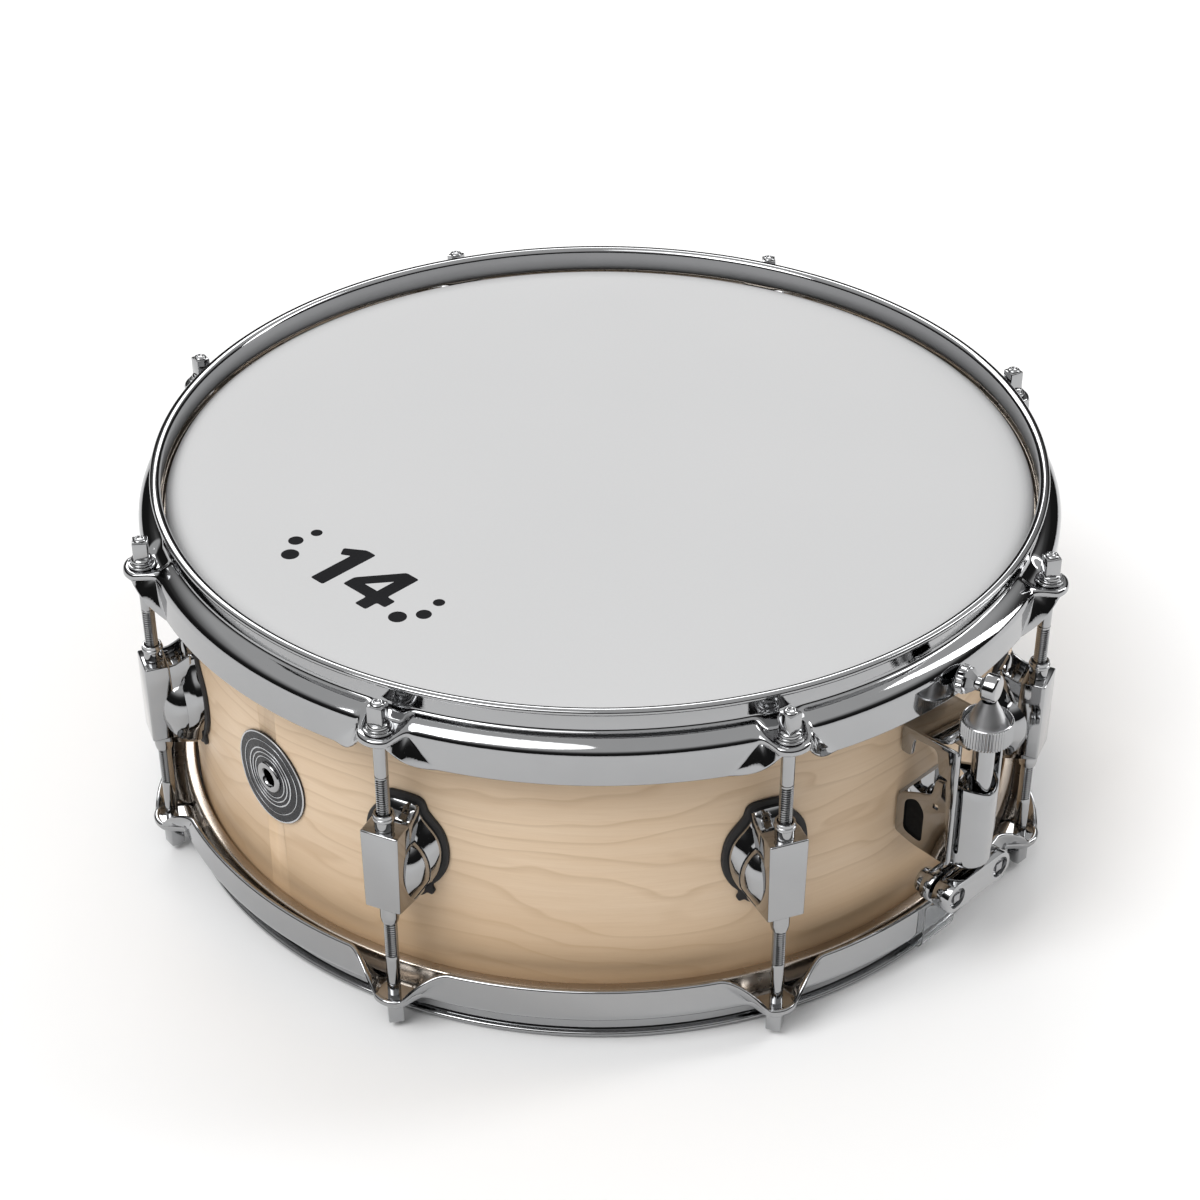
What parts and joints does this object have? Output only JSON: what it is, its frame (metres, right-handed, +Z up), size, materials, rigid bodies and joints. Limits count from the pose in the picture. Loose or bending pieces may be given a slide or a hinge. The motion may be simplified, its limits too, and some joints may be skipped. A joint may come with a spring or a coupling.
{
  "type": "snare drum",
  "caption": "Shallow wooden snare drum with triple-flanged metal hoops, coated head, single-post lugs, key-tuned rods, throw-off strainer and snare wires.",
  "frame": {"origin": "on the drum's axis, in the plane of the snare-side rim that it rests on", "axes": "+Z up along the drum's axis, towards the batter head; the badge faces -X -Y"},
  "size_m": [0.384, 0.384, 0.1589],
  "materials": {
    "maple_shell": "satin natural maple",
    "chrome": "polished chrome plate",
    "satin_aluminium": "satin aluminium",
    "coated_film": "white sprayed coating",
    "clear_film": "hazy clear film",
    "rubber": "matte black",
    "badge": "black with bright rings",
    "snare_steel": "bright drawn wire",
    "strap": "clear polyester film"
  },
  "bodies": {
    "drum": {"shell": "maple_shell", "badge_vent": "badge", "batter_head_film": "coated_film", "snare_head_film": "clear_film", "batter_flesh_hoop": "satin_aluminium", "snare_flesh_hoop": "satin_aluminium", "batter_hoop": "chrome", "snare_side_hoop": "chrome", "lug_gasket_1": "rubber", "lug_gasket_2": "rubber", "lug_gasket_3": "rubber", "lug_gasket_4": "rubber", "lug_gasket_5": "rubber", "lug_gasket_6": "rubber", "lug_gasket_7": "rubber", "lug_gasket_8": "rubber", "lug_1": "chrome", "lug_2": "chrome", "lug_3": "chrome", "lug_4": "chrome", "lug_5": "chrome", "lug_6": "chrome", "lug_7": "chrome", "lug_8": "chrome", "lug_insert_1": "chrome", "lug_insert_2": "chrome", "lug_insert_3": "chrome", "lug_insert_4": "chrome", "lug_insert_5": "chrome", "lug_insert_6": "chrome", "lug_insert_7": "chrome", "lug_insert_8": "chrome", "strainer_bracket": "chrome", "strainer_housing": "chrome", "butt_plate": "chrome", "butt_clamp": "chrome", "snare_strap_butt": "strap"},
    "batter_rod_1_body": {"batter_rod_1": "chrome"},
    "snare_rod_1_body": {"snare_rod_1": "chrome"},
    "batter_rod_2_body": {"batter_rod_2": "chrome"},
    "snare_rod_2_body": {"snare_rod_2": "chrome"},
    "batter_rod_3_body": {"batter_rod_3": "chrome"},
    "snare_rod_3_body": {"snare_rod_3": "chrome"},
    "batter_rod_4_body": {"batter_rod_4": "chrome"},
    "snare_rod_4_body": {"snare_rod_4": "chrome"},
    "batter_rod_5_body": {"batter_rod_5": "chrome"},
    "snare_rod_5_body": {"snare_rod_5": "chrome"},
    "batter_rod_6_body": {"batter_rod_6": "chrome"},
    "snare_rod_6_body": {"snare_rod_6": "chrome"},
    "batter_rod_7_body": {"batter_rod_7": "chrome"},
    "snare_rod_7_body": {"snare_rod_7": "chrome"},
    "batter_rod_8_body": {"batter_rod_8": "chrome"},
    "snare_rod_8_body": {"snare_rod_8": "chrome"},
    "throw_lever": {"strainer_lever": "chrome"},
    "tension_knob": {"strainer_knob": "chrome"},
    "snare_slider": {"strainer_slider": "chrome", "strainer_clamp_plate": "chrome", "snare_strap_strainer": "strap"},
    "snares": {"snare_wires": "snare_steel"}
  },
  "joints": [
    {"name": "batter_rod_1_turn", "type": "hinge", "parent": "drum", "child": "batter_rod_1_body", "pos_m": [0.17969, 0.07443, 0.144], "axis": [0, 0, 1], "continuous": true},
    {"name": "snare_rod_1_turn", "type": "hinge", "parent": "drum", "child": "snare_rod_1_body", "pos_m": [0.17969, 0.07443, 0.0149], "axis": [0, 0, 1], "continuous": true},
    {"name": "batter_rod_2_turn", "type": "hinge", "parent": "drum", "child": "batter_rod_2_body", "pos_m": [0.07443, 0.17969, 0.144], "axis": [0, 0, 1], "continuous": true},
    {"name": "snare_rod_2_turn", "type": "hinge", "parent": "drum", "child": "snare_rod_2_body", "pos_m": [0.07443, 0.17969, 0.0149], "axis": [0, 0, 1], "continuous": true},
    {"name": "batter_rod_3_turn", "type": "hinge", "parent": "drum", "child": "batter_rod_3_body", "pos_m": [-0.07443, 0.17969, 0.144], "axis": [0, 0, 1], "continuous": true},
    {"name": "snare_rod_3_turn", "type": "hinge", "parent": "drum", "child": "snare_rod_3_body", "pos_m": [-0.07443, 0.17969, 0.0149], "axis": [0, 0, 1], "continuous": true},
    {"name": "batter_rod_4_turn", "type": "hinge", "parent": "drum", "child": "batter_rod_4_body", "pos_m": [-0.17969, 0.07443, 0.144], "axis": [0, 0, 1], "continuous": true},
    {"name": "snare_rod_4_turn", "type": "hinge", "parent": "drum", "child": "snare_rod_4_body", "pos_m": [-0.17969, 0.07443, 0.0149], "axis": [0, 0, 1], "continuous": true},
    {"name": "batter_rod_5_turn", "type": "hinge", "parent": "drum", "child": "batter_rod_5_body", "pos_m": [-0.17969, -0.07443, 0.144], "axis": [0, 0, 1], "continuous": true},
    {"name": "snare_rod_5_turn", "type": "hinge", "parent": "drum", "child": "snare_rod_5_body", "pos_m": [-0.17969, -0.07443, 0.0149], "axis": [0, 0, 1], "continuous": true},
    {"name": "batter_rod_6_turn", "type": "hinge", "parent": "drum", "child": "batter_rod_6_body", "pos_m": [-0.07443, -0.17969, 0.144], "axis": [0, 0, 1], "continuous": true},
    {"name": "snare_rod_6_turn", "type": "hinge", "parent": "drum", "child": "snare_rod_6_body", "pos_m": [-0.07443, -0.17969, 0.0149], "axis": [0, 0, 1], "continuous": true},
    {"name": "batter_rod_7_turn", "type": "hinge", "parent": "drum", "child": "batter_rod_7_body", "pos_m": [0.07443, -0.17969, 0.144], "axis": [0, 0, 1], "continuous": true},
    {"name": "snare_rod_7_turn", "type": "hinge", "parent": "drum", "child": "snare_rod_7_body", "pos_m": [0.07443, -0.17969, 0.0149], "axis": [0, 0, 1], "continuous": true},
    {"name": "batter_rod_8_turn", "type": "hinge", "parent": "drum", "child": "batter_rod_8_body", "pos_m": [0.17969, -0.07443, 0.144], "axis": [0, 0, 1], "continuous": true},
    {"name": "snare_rod_8_turn", "type": "hinge", "parent": "drum", "child": "snare_rod_8_body", "pos_m": [0.17969, -0.07443, 0.0149], "axis": [0, 0, 1], "continuous": true},
    {"name": "throw_lever_turn", "type": "hinge", "parent": "drum", "child": "throw_lever", "pos_m": [0.15078, -0.1411, 0.1406], "axis": [0, 0, 1], "range_deg": [0, 180]},
    {"name": "tension_knob_turn", "type": "hinge", "parent": "throw_lever", "child": "tension_knob", "pos_m": [0.15078, -0.1411, 0.121], "axis": [0, 0, 1], "continuous": true},
    {"name": "snare_slide", "type": "slide", "parent": "drum", "child": "snare_slider", "axis": [0, 0, -1], "range_m": [0, 0.004]},
    {"name": "snare_release", "type": "hinge", "parent": "drum", "child": "snares", "pos_m": [-0.11975, 0.11206, 0.0075], "axis": [0.6833, 0.7302, 0], "range_deg": [0, 0.6529]}
  ],
  "couplings": [
    {"joint": "throw_lever_turn", "follows": "snare_slide", "rad_per_m": 785.4},
    {"joint": "snare_release", "follows": "snare_slide", "rad_per_m": 2.8488}
  ]
}
